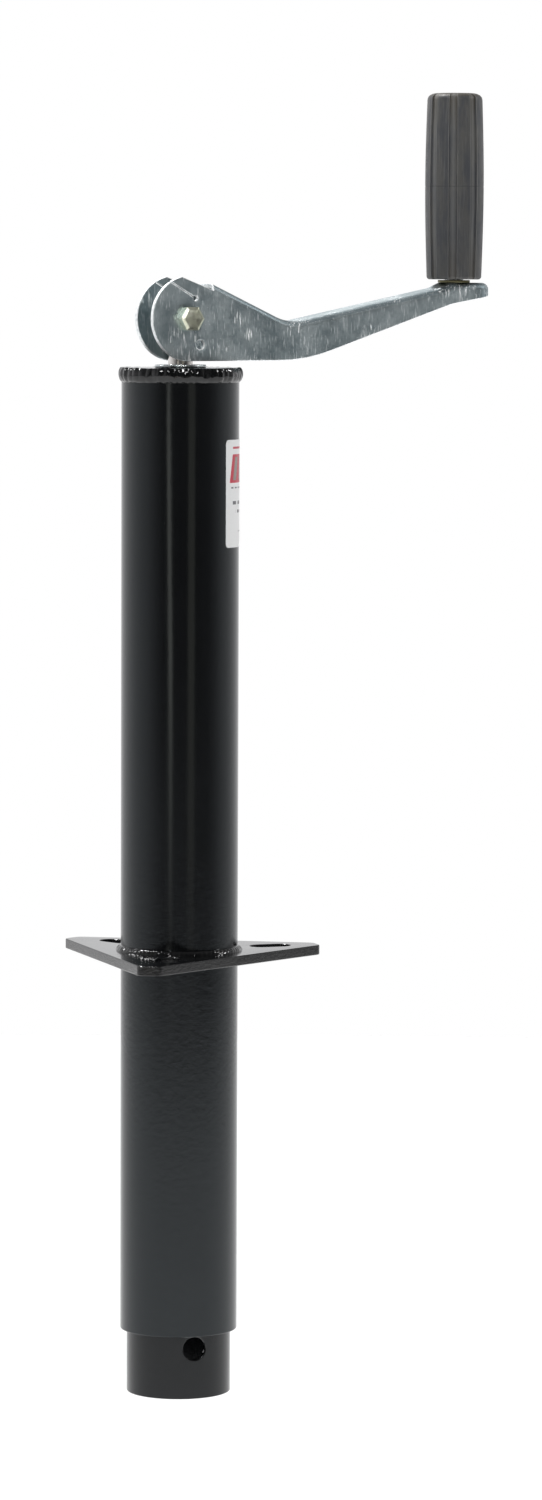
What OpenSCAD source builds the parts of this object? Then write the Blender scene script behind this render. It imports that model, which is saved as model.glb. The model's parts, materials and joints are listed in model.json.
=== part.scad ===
// Trailer tongue jack: a top-wind screw jack with a welded three-bolt
// flange, a telescoping ram and a fold-over crank handle.
// +Z is up along the tube. The origin is the centre of the flange's
// underside, the face that rests on the trailer's coupler. +X points at
// the flange's front slot.

/* [Jack tube] */
// Outside diameter of the jack tube
tube_od = 57.15; // [54:0.05:64]
// Wall of the jack tube
tube_wall = 2.4; // [2:0.1:2.6]
// Length of tube below the flange's underside
tube_below = 182; // [150:1:220]
// Height of the cap's top above the flange's underside
tube_above = 288; // [270:1:320]
// Thickness of the cap plate
cap_t = 5; // [4:0.5:6]
// Bore of the cap for the screw
cap_bore_d = 13; // [13:0.1:14]

/* [Flange] */
// Thickness of the flange plate
flange_t = 4.8; // [4:0.1:6.5]
// Distance from the tube's axis to each long edge
flange_apothem = 40.2; // [38:0.1:44]
// Distance from the tube's axis to each cut-off corner
flange_tip = 71.5; // [70:0.5:73]
// Radius on the corners of the plate
flange_corner_r = 4; // [1:0.5:4.5]
// Width of each bolt slot
slot_w = 11.1; // [10:0.1:12]
// Length of each bolt slot, end to end
slot_l = 20.6; // [16:0.1:21]
// Distance from the axis to the front slot's centre
front_slot_x = 47; // [45:0.5:48]
// Distance between the two rear slots' centres
rear_slot_spacing = 79.4; // [76:0.1:82]
// Distance from the axis back to the rear slots
rear_slot_x = 18.9; // [17:0.1:22]
// Leg of the weld between flange and tube
flange_weld_leg = 2.5; // [2:0.5:5]

/* [Ram] */
// Outside diameter of the ram tube
ram_od = 50.8; // [48:0.05:51]
// Wall of the ram tube
ram_wall = 2.3; // [2:0.1:3]
// Length of the ram tube
ram_l = 457.2; // [440:0.1:460]
// Length of ram that stands out below the jack tube when retracted
ram_stub = 31; // [31:0.5:40]
// Diameter of the cross hole for a foot or wheel pin
pin_hole_d = 11.1; // [10:0.1:12]
// Height of the cross hole above the ram's lower end
pin_hole_up = 24.9; // [20:0.1:25]

/* [Screw] */
// Diameter of the screw's plain shank
shank_d = 12.2; // [12:0.1:12.4]
// Outside diameter of the screw's thread
thread_d = 12.7; // [12.7:0.1:14]
// Radial clearance between the thread and the nut
thread_gap = 0.08; // [0.02:0.01:0.1]
// Travel of the ram
travel = 355; // [300:1:355]

/* [Thrust bearing] */
// Diameter of the bearing balls
ball_d = 6.35; // [6:0.05:6.5]
// Number of balls
ball_count = 8; // [6:1:8]
// Diameter of the circle of ball centres
ball_circle_d = 21.2; // [20.6:0.1:22]

/* [Crank handle] */
// Angle of the crank about the tube, from the front slot
crank_angle = 12; // [0:1:40]
// Height of the pivot bolt above the cap
pivot_up = 23.6; // [23:0.1:26]
// Crank radius, from the screw to the grip's axis
crank_r = 157.5; // [150:0.5:160]
// Width of the pressed channel, outside to outside
channel_w = 17.5; // [17.5:0.1:19]
// Thickness of the pressed steel
steel_t = 2.4; // [2.2:0.1:2.4]
// Radius of the round hub end of the channel
hub_r = 20.5; // [20:0.1:20.8]
// Diameter of the pivot bolt
bolt_d = 6.35; // [6:0.05:6.4]
// Width across the flats of the bolt head and nut
hex_af = 11.1; // [10:0.1:11.2]

/* [Grip] */
// Length of the grip
grip_l = 92; // [85:1:100]
// Diameter at the ends of the grip
grip_end_d = 27.3; // [26:0.1:28]
// Diameter at the middle of the grip
grip_mid_d = 29.3; // [28.5:0.1:31]
// Number of flutes round the grip
flute_count = 8; // [6:1:10]
// Diameter of the spindle inside the grip
spindle_d = 9.5; // [8:0.1:10]

/* [Label] */
// Width of the label round the tube
label_w = 60; // [40:1:70]
// Height of the label
label_h = 52; // [40:1:60]
// Distance from the cap's top down to the label
label_drop = 34.5; // [25:0.5:60]

/* [Hidden] */
$fn = 96;

// A cut that has to pass right through a face overshoots it by this much
over = 1;

// Jack tube
tube_r = tube_od / 2;
tube_top_z = tube_above - cap_t;
cap_r = tube_r - 1.6;
tube_fit = 0.02;
weld_proud = 1.5;
weld_down = 2.2;
label_t = 0.15;
label_angle = -58;

// Washer on the cap
washer_r = 12.5;
washer_t = 1.4;
shaft_gap = 0.4;
washer_bore_r = shank_d / 2 + shaft_gap;

// Ram and its nut
ram_r = ram_od / 2;
ram_bore_r = ram_r - ram_wall;
ram_bottom_z = -tube_below - ram_stub;
ram_top_z = ram_bottom_z + ram_l;
nut_l = 22;
nut_r = ram_bore_r - 0.1;
nut_flange_t = 3;
nut_flange_r = ram_r - 1.5;
nut_weld_leg = 1.3;
nut_bottom_z = ram_top_z - nut_l;

// Thrust bearing, from the cap's underside down
race_t = 3;
race_r = 14.5;
race_bore_r = shank_d / 2 + shaft_gap;
ball_r = ball_d / 2;
groove_r = ball_r + 0.225;
groove_depth = 0.9;
ball_gap = 0.12;
upper_race_z = tube_top_z - race_t;
ball_z = upper_race_z + groove_depth - ball_gap - ball_r;
lower_race_top_z = 2 * ball_z - upper_race_z;
cage_t = 1.6;
cage_bore_r = 7.2;
cage_r = 13.9;
cage_hole_r = ball_r + 0.12;

// Collar under the bearing
collar_t = 12;
collar_r = 12;
collar_bore_r = shank_d / 2 + 0.05;
collar_top_z = lower_race_top_z - race_t;
collar_pin_r = 2.5;
collar_pin_wall = 1;
collar_pin_short = 0.5;

// Screw
pivot_z = tube_above + pivot_up;
shank_over_pivot = 8.5;
shank_under_collar = 5;
shank_top_z = pivot_z + shank_over_pivot;
shank_bottom_z = collar_top_z - collar_t - shank_under_collar;
screw_bevel = 1.2;
pivot_fit_r = bolt_d / 2 + 0.07;
stop_gap = 1.2;
stop_top_z = nut_bottom_z - travel - stop_gap;
stop_t = 3.4;
stop_r = 11;
stop_bore_r = thread_d / 2 + 0.2;
stop_pin_r = 2;
stop_pin_l = 1.6 * thread_d;
stop_pin_z = stop_top_z - stop_t - stop_pin_r;
screw_end = 6.5;
screw_bottom_z = stop_pin_z - screw_end;

// Crank arm. Its outline is drawn in the plane of the side plates:
// u runs from the pivot to the grip, w runs up from the pivot.
notch_u = 13.5;
web_end_w = 17;
arm_tip_u = crank_r + 18.8;
pad_w = 17.7;
web_slope = 24;
web_drop = steel_t / cos(web_slope);
// top of the web: the bend by the hub, the foot of the rise, the pad's edge
web_bend = [57.3, -2.2];
web_bend_r = 25;
rise_at = [crank_r - 11.5, 15.1];
pad_from = [crank_r - 5.5, pad_w];
// lower edges of the side plates: two bends, then the skirt's end at the tip
lower_bend = [66, -20.3];
lower_bend_r = 95;
skirt_bend = [crank_r - 6.5, 7.2];
skirt_bend_r = 40;
skirt_end_w = 11.4;
// ears of the side plates above the shank
ear_low_w = 13.7;
ear_top = [-4, 20.1];
bolt_hole_r = bolt_d / 2 + 0.1;
bolt_head_t = 4;
bolt_bevel_share = 0.52;
nut_t = 5.5;
nut_bore_r = bolt_d / 2 + 0.03;
bolt_end = 2;
dimple_r = 2.3;
dimple_depth = 1.1;
dimple_at = [5.9, -12.6];
slit_w = 0.5;
slit_from = [-12, 18.6];
slit_to = [3.4, 9.8];
relief_r = 1.3;

// Grip and its spindle, heights from the pivot
grip_collar_t = 1.3;
grip_collar_r = 8;
grip_gap = 0.3;
grip_bottom_w = pad_w + grip_collar_t + grip_gap;
grip_top_w = grip_bottom_w + grip_l;
spindle_r = spindle_d / 2;
spindle_fit_r = spindle_r + 0.09;
bushing_fit_r = spindle_r + 0.1;
ring_fit_r = spindle_r + 0.02;
spindle_tail_r = 3.6;
tail_hole_r = spindle_tail_r + 0.05;
spindle_bevel = 0.8;
rivet_head_r = 5.4;
rivet_head_t = 1.8;
plug_r = 9.5;
plug_t = 4;
ring_r = 8.4;
ring_t = 1.4;
ring_gap = 0.4;
plug_bevel = 0.5;
// how far below the end plug the grip's pocket starts and the spindle ends
pocket_depth = 10;
spindle_short = 3;
pocket_w = grip_top_w - plug_t - pocket_depth;
spindle_top_w = grip_top_w - plug_t - spindle_short;
flute_w = 4.1;
// turn of the grip on its spindle when the jack is at rest
flute_turn = 9;
flute_floor_r = grip_end_d / 2 - 0.9;
grip_edge_r = 1.4;

steel_grey = [0.62, 0.66, 0.67];
paint_black = [0.05, 0.05, 0.055];
dark_steel = [0.3, 0.3, 0.31];
grip_black = [0.15, 0.15, 0.16];

// ---- Shared shapes ----

// Points of the arc of radius r that rounds the corner b between a and c
function corner_arc(a, b, c, r, steps = 10) =
    let (
        to_a = (a - b) / norm(a - b),
        to_c = (c - b) / norm(c - b),
        half = acos(to_a * to_c) / 2,
        middle = b + (to_a + to_c) / norm(to_a + to_c) * r / sin(half),
        first = b + to_a * r / tan(half) - middle,
        last = b + to_c * r / tan(half) - middle,
        start = atan2(first[1], first[0]),
        full = atan2(last[1], last[0]) - start,
        sweep = full > 180 ? full - 360 : full < -180 ? full + 360 : full
    )
    [for (i = [0:steps]) middle + r * [cos(start + sweep * i / steps),
                                       sin(start + sweep * i / steps)]];

// Outline through [x, y, corner radius] points
function rounded(points) =
    let (n = len(points))
    [for (i = [0:n - 1])
        let (
            a = points[(i + n - 1) % n],
            b = points[i],
            c = points[(i + 1) % n]
        )
        each (b[2] > 0
            ? corner_arc([a[0], a[1]], [b[0], b[1]], [c[0], c[1]], b[2])
            : [[b[0], b[1]]])];

module ring(r_out, r_in, h) {
    difference() {
        cylinder(r = r_out, h = h);
        translate([0, 0, -over]) cylinder(r = r_in, h = h + 2 * over);
    }
}

module hexagon_prism(across_flats, h) {
    cylinder(d = across_flats / cos(30), h = h, $fn = 6);
}

// Rod with a bevel at each end
module bevelled_rod(r, h, bevel) {
    rotate_extrude()
        polygon([[0, 0], [r - bevel, 0], [r, bevel],
                 [r, h - bevel], [r - bevel, h], [0, h]]);
}

// Moves a shape from the arm's u, v, w directions at the pivot to its
// place on the jack
module at_pivot() {
    translate([0, 0, pivot_z]) rotate([0, 0, crank_angle]) children();
}

// ---- Jack tube and what is welded to it ----

module outer_tube() {
    color(paint_black)
        translate([0, 0, -tube_below])
        ring(tube_r, tube_r - tube_wall, tube_below + tube_top_z);
}

module top_cap() {
    color(paint_black)
        translate([0, 0, tube_top_z]) ring(cap_r, cap_bore_d / 2, cap_t);
}

// Bead that fills the corner between the cap's edge and the tube's end
module top_weld() {
    color(paint_black)
        rotate_extrude()
        polygon(concat(
            // outside, as shares of how far the bead stands out and of its drop
            [for (p = [[0, 1], [0.6, 0.7], [1, 0]])
                [tube_r + weld_proud * p[0], tube_top_z - weld_down * p[1]]],
            // and of the cap's thickness above the tube's end
            [for (p = [[1, 0.35], [0.7, 0.7], [0, 0.92]])
                [tube_r + weld_proud * p[0], tube_top_z + cap_t * p[1]]],
            [[(tube_r + cap_r) / 2, tube_above],
             [cap_r, tube_above],
             [cap_r, tube_top_z],
             [tube_r, tube_top_z]]));
}

// One cut-off corner of the triangle, as its two rounding centres
function tip_centres(angle) =
    let (
        half = (2 * flange_apothem - flange_tip) * tan(30),
        // a corner of 120 degrees between the long edge and the cut
        back = flange_corner_r,
        side = flange_corner_r * tan(30)
    )
    [for (s = [-1, 1])
        (flange_tip - back) * [cos(angle), sin(angle)]
        + s * (half - side) * [-sin(angle), cos(angle)]];

module flange_outline() {
    centres = [for (k = [0:2]) each tip_centres(120 * k)];
    // straight edges join the points where they touch the corner circles
    touch = [for (k = [0:2])
        let (pair = tip_centres(120 * k), a = 120 * k)
        each [
            pair[0] + flange_corner_r * [cos(a - 60), sin(a - 60)],
            pair[0] + flange_corner_r * [cos(a), sin(a)],
            pair[1] + flange_corner_r * [cos(a), sin(a)],
            pair[1] + flange_corner_r * [cos(a + 60), sin(a + 60)]]];
    polygon(touch);
    for (c = centres) translate(c) circle(r = flange_corner_r, $fn = 48);
}

// A slot that runs away from the tube's axis
module radial_slot(x, y) {
    angle = atan2(y, x);
    run = (slot_l - slot_w) / 2;
    translate([x, y, -over]) rotate([0, 0, angle]) {
        for (s = [-1, 1])
            translate([s * run, 0, 0])
            cylinder(d = slot_w, h = flange_t + 2 * over);
        translate([-run, -slot_w / 2, 0])
            cube([2 * run, slot_w, flange_t + 2 * over]);
    }
}

module mounting_flange() {
    color(paint_black)
        difference() {
            linear_extrude(flange_t) flange_outline();
            translate([0, 0, -over])
                cylinder(r = tube_r + tube_fit, h = flange_t + 2 * over);
            radial_slot(front_slot_x, 0);
            for (s = [-1, 1])
                radial_slot(-rear_slot_x, s * rear_slot_spacing / 2);
        }
}

module flange_weld() {
    leg = flange_weld_leg;
    color(paint_black)
        translate([0, 0, flange_t])
        rotate_extrude()
        // the section bulges a little past a straight line between its feet
        polygon([for (p = [[0, 0], [1, 0], [0.82, 0.4], [0.45, 0.78], [0, 1]])
            [tube_r + leg * p[0], leg * p[1]]]);
}

module rating_label() {
    sweep = label_w / tube_r * 180 / PI;
    color("white")
        translate([0, 0, tube_above - label_drop - label_h])
        rotate([0, 0, label_angle])
        rotate_extrude(angle = sweep)
        translate([tube_r, 0]) square([label_t, label_h]);
}

module top_washer() {
    color(steel_grey)
        translate([0, 0, tube_above]) ring(washer_r, washer_bore_r, washer_t);
}

// ---- Thrust bearing ----

module race() {
    difference() {
        ring(race_r, race_bore_r, race_t);
        translate([0, 0, groove_r + race_t - groove_depth])
            rotate_extrude() translate([ball_circle_d / 2, 0]) circle(r = groove_r);
    }
}

module bearing_lower_race() {
    color(steel_grey)
        translate([0, 0, lower_race_top_z - race_t]) race();
}

module bearing_upper_race() {
    color(steel_grey)
        translate([0, 0, tube_top_z]) mirror([0, 0, 1]) race();
}

module each_ball() {
    for (k = [0:ball_count - 1])
        rotate([0, 0, k * 360 / ball_count])
        translate([ball_circle_d / 2, 0, ball_z]) children();
}

module bearing_cage() {
    color([0.72, 0.6, 0.3])
        difference() {
            translate([0, 0, ball_z - cage_t / 2])
                ring(cage_r, cage_bore_r, cage_t);
            each_ball()
                translate([0, 0, -cage_t])
                cylinder(r = cage_hole_r, h = 2 * cage_t, $fn = 48);
        }
}

module bearing_balls() {
    color([0.8, 0.8, 0.82]) each_ball() sphere(r = ball_r, $fn = 48);
}

// ---- Screw and what turns with it ----

module thrust_collar() {
    color(dark_steel)
        translate([0, 0, collar_top_z - collar_t])
        difference() {
            ring(collar_r, collar_bore_r, collar_t);
            cross_hole(collar_pin_r, collar_t / 2);
        }
}

// Hole along Y at height z, right through whatever is on the axis
module cross_hole(r, z) {
    translate([0, 0, z]) rotate([90, 0, 0])
        cylinder(r = r, h = 4 * collar_r, center = true);
}

module collar_pin() {
    length = 2 * (collar_r - collar_pin_short);
    color(steel_grey)
        translate([0, length / 2, collar_top_z - collar_t / 2])
        rotate([90, 0, 0])
        difference() {
            cylinder(r = collar_pin_r, h = length);
            translate([0, 0, -over])
                cylinder(r = collar_pin_r - collar_pin_wall, h = length + 2 * over);
        }
}

module lead_screw() {
    color(dark_steel)
        difference() {
            union() {
                translate([0, 0, shank_bottom_z - over])
                    bevelled_rod(shank_d / 2,
                                 shank_top_z - shank_bottom_z + over,
                                 screw_bevel);
                translate([0, 0, screw_bottom_z])
                    bevelled_rod(thread_d / 2, shank_bottom_z - screw_bottom_z,
                                 screw_bevel);
            }
            cross_hole(collar_pin_r, collar_top_z - collar_t / 2);
            cross_hole(stop_pin_r, stop_pin_z);
            at_pivot() rotate([90, 0, 0])
                cylinder(r = pivot_fit_r, h = 4 * shank_d, center = true);
        }
}

module stop_washer() {
    color(steel_grey)
        translate([0, 0, stop_top_z - stop_t])
        ring(stop_r, stop_bore_r, stop_t);
}

module stop_pin() {
    color(steel_grey)
        translate([0, stop_pin_l / 2, stop_pin_z]) rotate([90, 0, 0])
        cylinder(r = stop_pin_r, h = stop_pin_l);
}

// ---- Crank handle ----

// Side view of the whole arm, from the round hub to the tip
module arm_outline() {
    circle(r = hub_r);
    polygon(rounded([
        [0, -hub_r, 0],
        [each lower_bend, lower_bend_r],
        [each skirt_bend, skirt_bend_r],
        [arm_tip_u, skirt_end_w, 2.4],
        [arm_tip_u, pad_w, 1.6],
        [each pad_from, 3],
        [each rise_at, 3],
        [each web_bend, web_bend_r],
        [notch_u, web_end_w, 0],
        [notch_u, ear_low_w, 0],
        [each ear_top, 0]]));
}

// The arm's plan: straight sides and a round tip
module arm_plan(half_width, tip_u) {
    translate([-2 * hub_r, -half_width, -2 * hub_r])
        cube([2 * hub_r + tip_u - half_width, 2 * half_width, 4 * hub_r]);
    translate([tip_u - half_width, 0, -2 * hub_r])
        cylinder(r = half_width, h = 4 * hub_r);
}

// Space inside the channel, open below, and open above at the hub
module arm_hollow() {
    inner = channel_w / 2 - steel_t;
    intersection() {
        arm_plan(inner, arm_tip_u - steel_t);
        translate([0, 2 * hub_r, -web_drop]) rotate([90, 0, 0])
            linear_extrude(4 * hub_r)
            polygon(concat(
                [[arm_tip_u + over, -3 * hub_r], [arm_tip_u + over, pad_w],
                 pad_from, rise_at],
                corner_arc(rise_at, web_bend, [notch_u, web_end_w], web_bend_r),
                [[notch_u, web_end_w], [-2 * hub_r, web_end_w],
                 [-2 * hub_r, -3 * hub_r]]));
    }
    translate([-2 * hub_r, -inner, -2 * hub_r])
        cube([2 * hub_r + notch_u, 2 * inner, 4 * hub_r]);
}

// A narrow cut from the hub's rim to a round relief hole
module relief_slit() {
    run = slit_to - slit_from;
    translate([slit_from[0], 0, slit_from[1]])
        rotate([0, -atan2(run[1], run[0]), 0])
        translate([0, -channel_w, -slit_w / 2])
        cube([norm(run), 2 * channel_w, slit_w]);
    translate([slit_to[0], 0, slit_to[1]]) rotate([90, 0, 0])
        cylinder(r = relief_r, h = 2 * channel_w, center = true);
}

// Pressed stop: a dent outside and a boss inside that meets the screw
module each_dimple(from_centre, depth) {
    for (s = [-1, 1])
        translate([dimple_at[0], s * from_centre, dimple_at[1]])
        rotate([90, 0, 0])
        cylinder(r = dimple_r, h = depth, center = true);
}

module crank_arm() {
    color(steel_grey)
        at_pivot() difference() {
            union() {
                difference() {
                    intersection() {
                        arm_plan(channel_w / 2, arm_tip_u);
                        translate([0, 2 * hub_r, 0]) rotate([90, 0, 0])
                            linear_extrude(4 * hub_r) arm_outline();
                    }
                    arm_hollow();
                }
                each_dimple(channel_w / 2 - steel_t, 2 * dimple_depth);
            }
            each_dimple(channel_w / 2, 2 * dimple_depth);
            relief_slit();
            rotate([90, 0, 0])
                cylinder(r = bolt_hole_r, h = 2 * channel_w, center = true);
            translate([crank_r, 0, 0])
                cylinder(r = tail_hole_r, h = 2 * pad_w);
        }
}

// Hex head on the -v side, plain shank through both plates
module pivot_bolt() {
    half = channel_w / 2;
    color(steel_grey)
        at_pivot() {
            translate([0, -half, 0]) rotate([90, 0, 0])
                intersection() {
                    hexagon_prism(hex_af, bolt_head_t);
                    cylinder(r1 = hex_af, r2 = hex_af * bolt_bevel_share,
                             h = bolt_head_t + over);
                }
            translate([0, half + nut_t + bolt_end, 0]) rotate([90, 0, 0])
                cylinder(d = bolt_d, h = channel_w + nut_t + bolt_end);
        }
}

module pivot_nut() {
    color(steel_grey)
        at_pivot()
        translate([0, channel_w / 2 + nut_t, 0]) rotate([90, 0, 0])
        difference() {
            hexagon_prism(hex_af, nut_t);
            translate([0, 0, -over])
                cylinder(r = nut_bore_r, h = nut_t + 2 * over);
        }
}

// ---- Grip ----

// Shouldered rod, riveted over below the arm's flat end
module grip_spindle() {
    web_under_w = pad_w - web_drop;
    color(steel_grey)
        at_pivot() translate([crank_r, 0, 0]) {
            translate([0, 0, web_under_w - rivet_head_t])
                cylinder(r1 = rivet_head_r - 1, r2 = rivet_head_r, h = rivet_head_t);
            translate([0, 0, web_under_w])
                cylinder(r = spindle_tail_r, h = web_drop);
            translate([0, 0, pad_w])
                bevelled_rod(spindle_r, spindle_top_w - pad_w, spindle_bevel);
        }
}

module grip_collar() {
    color([0.6, 0.56, 0.3])
        at_pivot() translate([crank_r, 0, pad_w])
        ring(grip_collar_r, bushing_fit_r, grip_collar_t);
}

// Push-on ring that keeps the grip on its spindle
module grip_retaining_ring() {
    color(steel_grey)
        at_pivot() translate([crank_r, 0, pocket_w + ring_gap])
        ring(ring_r, ring_fit_r, ring_t);
}

// Half of the barrel's outline: a shallow arc between rounded ends
function barrel_points(steps = 12) =
    let (end_r = grip_end_d / 2, swell = (grip_mid_d - grip_end_d) / 2)
    [for (i = [0:steps])
        let (t = i / steps)
        [end_r + swell * sin(180 * t), grip_edge_r + (grip_l - 2 * grip_edge_r) * t]];

module handle_grip() {
    end_r = grip_end_d / 2;
    color(grip_black)
        at_pivot() translate([crank_r, 0, grip_bottom_w])
        difference() {
            rotate_extrude()
                polygon(concat([[0, 0], [end_r - grip_edge_r, 0]],
                               barrel_points(),
                               [[end_r - grip_edge_r, grip_l], [0, grip_l]]));
            for (k = [0:flute_count - 1])
                rotate([0, 0, k * 360 / flute_count + flute_turn])
                translate([flute_floor_r, -flute_w / 2, -over])
                cube([grip_mid_d, flute_w, grip_l + 2 * over]);
            translate([0, 0, -over]) cylinder(r = spindle_fit_r, h = grip_l);
            translate([0, 0, pocket_w - grip_bottom_w])
                cylinder(r = plug_r, h = grip_l);
        }
}

module grip_end_plug() {
    color(grip_black)
        at_pivot() translate([crank_r, 0, grip_top_w - plug_t])
        bevelled_rod(plug_r, plug_t, plug_bevel);
}

// ---- Ram ----

module ram_tube() {
    color(paint_black)
        translate([0, 0, ram_bottom_z])
        difference() {
            ring(ram_r, ram_bore_r, ram_l);
            translate([0, 0, pin_hole_up]) rotate([90, 0, 0])
                cylinder(d = pin_hole_d, h = 2 * ram_od, center = true);
        }
}

module drive_nut() {
    color(dark_steel)
        translate([0, 0, nut_bottom_z])
        difference() {
            union() {
                cylinder(r = nut_r, h = nut_l);
                translate([0, 0, nut_l])
                    cylinder(r = nut_flange_r, h = nut_flange_t);
            }
            translate([0, 0, -over])
                cylinder(r = thread_d / 2 + thread_gap,
                         h = nut_l + nut_flange_t + 2 * over);
        }
}

module nut_weld() {
    color(dark_steel)
        translate([0, 0, ram_top_z])
        rotate_extrude()
        polygon([for (p = [[0, 0], [1, 0], [0.7, 0.7], [0, 1]])
            [nut_flange_r + nut_weld_leg * p[0], nut_weld_leg * p[1]]]);
}

outer_tube();
top_cap();
top_weld();
mounting_flange();
flange_weld();
rating_label();
top_washer();
bearing_upper_race();
bearing_cage();
bearing_balls();
bearing_lower_race();
thrust_collar();
collar_pin();
lead_screw();
stop_washer();
stop_pin();
crank_arm();
pivot_bolt();
pivot_nut();
grip_spindle();
grip_collar();
grip_retaining_ring();
handle_grip();
grip_end_plug();
ram_tube();
drive_nut();
nut_weld();
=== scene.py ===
"""Looks of the trailer tongue jack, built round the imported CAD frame.

Lengths are in metres in the row frame. Sizes written in millimetres are
multiplied by MM where they are used. The crank handle is drawn in its own
directions at the pivot bolt: u runs out along the arm, v across it and w up.
"""

import json
from math import acos, asin, atan2, cos, degrees, exp, hypot, pi, radians, sin, sqrt, tan

import bmesh
import bpy
from mathutils import Euler, Matrix, Vector, geometry, noise


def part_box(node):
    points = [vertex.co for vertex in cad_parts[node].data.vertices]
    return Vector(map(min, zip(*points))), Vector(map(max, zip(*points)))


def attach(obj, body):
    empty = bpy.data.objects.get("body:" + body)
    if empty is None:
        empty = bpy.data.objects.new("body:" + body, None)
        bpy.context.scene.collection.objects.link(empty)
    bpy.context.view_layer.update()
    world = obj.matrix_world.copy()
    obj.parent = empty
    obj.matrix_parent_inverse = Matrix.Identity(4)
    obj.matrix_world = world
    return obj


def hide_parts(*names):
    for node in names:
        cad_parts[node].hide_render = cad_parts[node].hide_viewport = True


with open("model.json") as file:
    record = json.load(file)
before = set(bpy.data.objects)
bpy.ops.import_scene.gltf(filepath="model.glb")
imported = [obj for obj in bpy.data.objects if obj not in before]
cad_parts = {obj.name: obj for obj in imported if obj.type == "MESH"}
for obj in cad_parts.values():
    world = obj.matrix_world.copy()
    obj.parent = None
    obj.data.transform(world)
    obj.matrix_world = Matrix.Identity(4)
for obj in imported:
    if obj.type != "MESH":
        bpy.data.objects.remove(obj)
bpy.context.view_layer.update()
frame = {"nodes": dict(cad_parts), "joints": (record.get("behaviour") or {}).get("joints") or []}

MM = 0.001
TAU = 2 * pi
SKIN = 0.02 * MM  # keeps a drawn outline inside the CAD one

# ---- Sizes that come from the frame ----

tube_low, tube_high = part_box("outer_tube")
TUBE_R = tube_high.x
cap_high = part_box("top_cap")[1]
CAP_TOP = cap_high.z
flange_low, flange_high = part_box("mounting_flange")
FLANGE_T = flange_high.z
ram_low, ram_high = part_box("ram_tube")
RAM_R = ram_high.x
label_low, label_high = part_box("rating_label")
screw_low, screw_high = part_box("lead_screw")
joints = {j["name"]: j for j in frame["joints"]}
V_DIR = -Vector(joints["handle_fold"]["axis"])
UP = Vector((0, 0, 1))
ARM = Matrix((V_DIR.cross(UP), V_DIR, UP)).transposed().to_4x4()
ARM.translation = joints["handle_fold"]["pos_m"]
grip_low, grip_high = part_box("handle_grip")
GRIP_AXIS = Vector(joints["grip_spin"]["pos_m"])


# ---- Mesh helpers ----


def ray(angle):
    """The unit vector at an angle."""
    return Vector((cos(angle), sin(angle)))


def in_mm(points):
    """Points given in millimetres, in metres."""
    return [(x * MM, y * MM) for x, y in points]


def corner_arc(a, b, c, radius, steps):
    """Points of the arc that rounds the corner b between a and c."""
    a, b, c = Vector(a), Vector(b), Vector(c)
    to_a, to_c = (a - b).normalized(), (c - b).normalized()
    half = acos(max(-1, min(1, to_a.dot(to_c)))) / 2
    middle = b + (to_a + to_c).normalized() * radius / sin(half)
    first = b + to_a * radius / tan(half) - middle
    last = b + to_c * radius / tan(half) - middle
    start = atan2(first.y, first.x)
    sweep = (atan2(last.y, last.x) - start + pi) % TAU - pi
    return [(middle.x + radius * cos(start + sweep * i / steps),
             middle.y + radius * sin(start + sweep * i / steps))
            for i in range(steps + 1)]


def rounded(points, steps=6, closed=True):
    """The outline through (x, y, corner radius) points."""
    out = []
    count = len(points)
    for i, (x, y, radius) in enumerate(points):
        if radius > 0 and (closed or 0 < i < count - 1):
            before, after = points[i - 1][:2], points[(i + 1) % count][:2]
            out += corner_arc(before, (x, y), after, radius, steps)
        else:
            out.append((x, y))
    return out


def height_on(line, x):
    """The second coordinate of an outline at x. The outline runs along rising x."""
    for (x0, y0), (x1, y1) in zip(line, line[1:]):
        if x <= x1:
            return y0 + (y1 - y0) * (x - x0) / (x1 - x0)
    return line[-1][1]


def add_object(name, data):
    """A new object in the scene."""
    obj = bpy.data.objects.new(name, data)
    bpy.context.scene.collection.objects.link(obj)
    return obj


def new_piece(name, bm, material, body, replaces=(), smooth=40, bevel=None):
    """Turns a bmesh into a shaded piece that rides on a body. Edges sharper than
    smooth degrees stay sharp, and bevel is the width they are rounded to."""
    bmesh.ops.recalc_face_normals(bm, faces=bm.faces)
    mesh = bpy.data.meshes.new(name)
    bm.to_mesh(mesh)
    bm.free()
    mesh.shade_smooth()
    mesh.set_sharp_from_angle(angle=radians(smooth))
    obj = add_object(name, mesh)
    obj.data.materials.append(material)
    if bevel:
        rounding = obj.modifiers.new("edges", "BEVEL")
        rounding.width = bevel
        rounding.segments = 2
        rounding.limit_method = "ANGLE"
        rounding.angle_limit = radians(55)
        rounding.use_clamp_overlap = False
    shading = obj.modifiers.new("normals", "WEIGHTED_NORMAL")
    shading.keep_sharp = True
    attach(obj, body)
    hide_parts(*replaces)


def join_rings(bm, rings, closed=False):
    """Faces between each ring of vertices and the next, and from the last to the
    first if closed."""
    pairs = list(zip(rings, rings[1:])) + ([(rings[-1], rings[0])] if closed else [])
    for low, high in pairs:
        for i in range(len(low)):
            j = (i + 1) % len(low)
            ring = [low[i], low[j], high[j], high[i]]
            face = [v for k, v in enumerate(ring) if v not in ring[:k]]
            if len(face) > 2:
                bm.faces.new(face)


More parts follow.
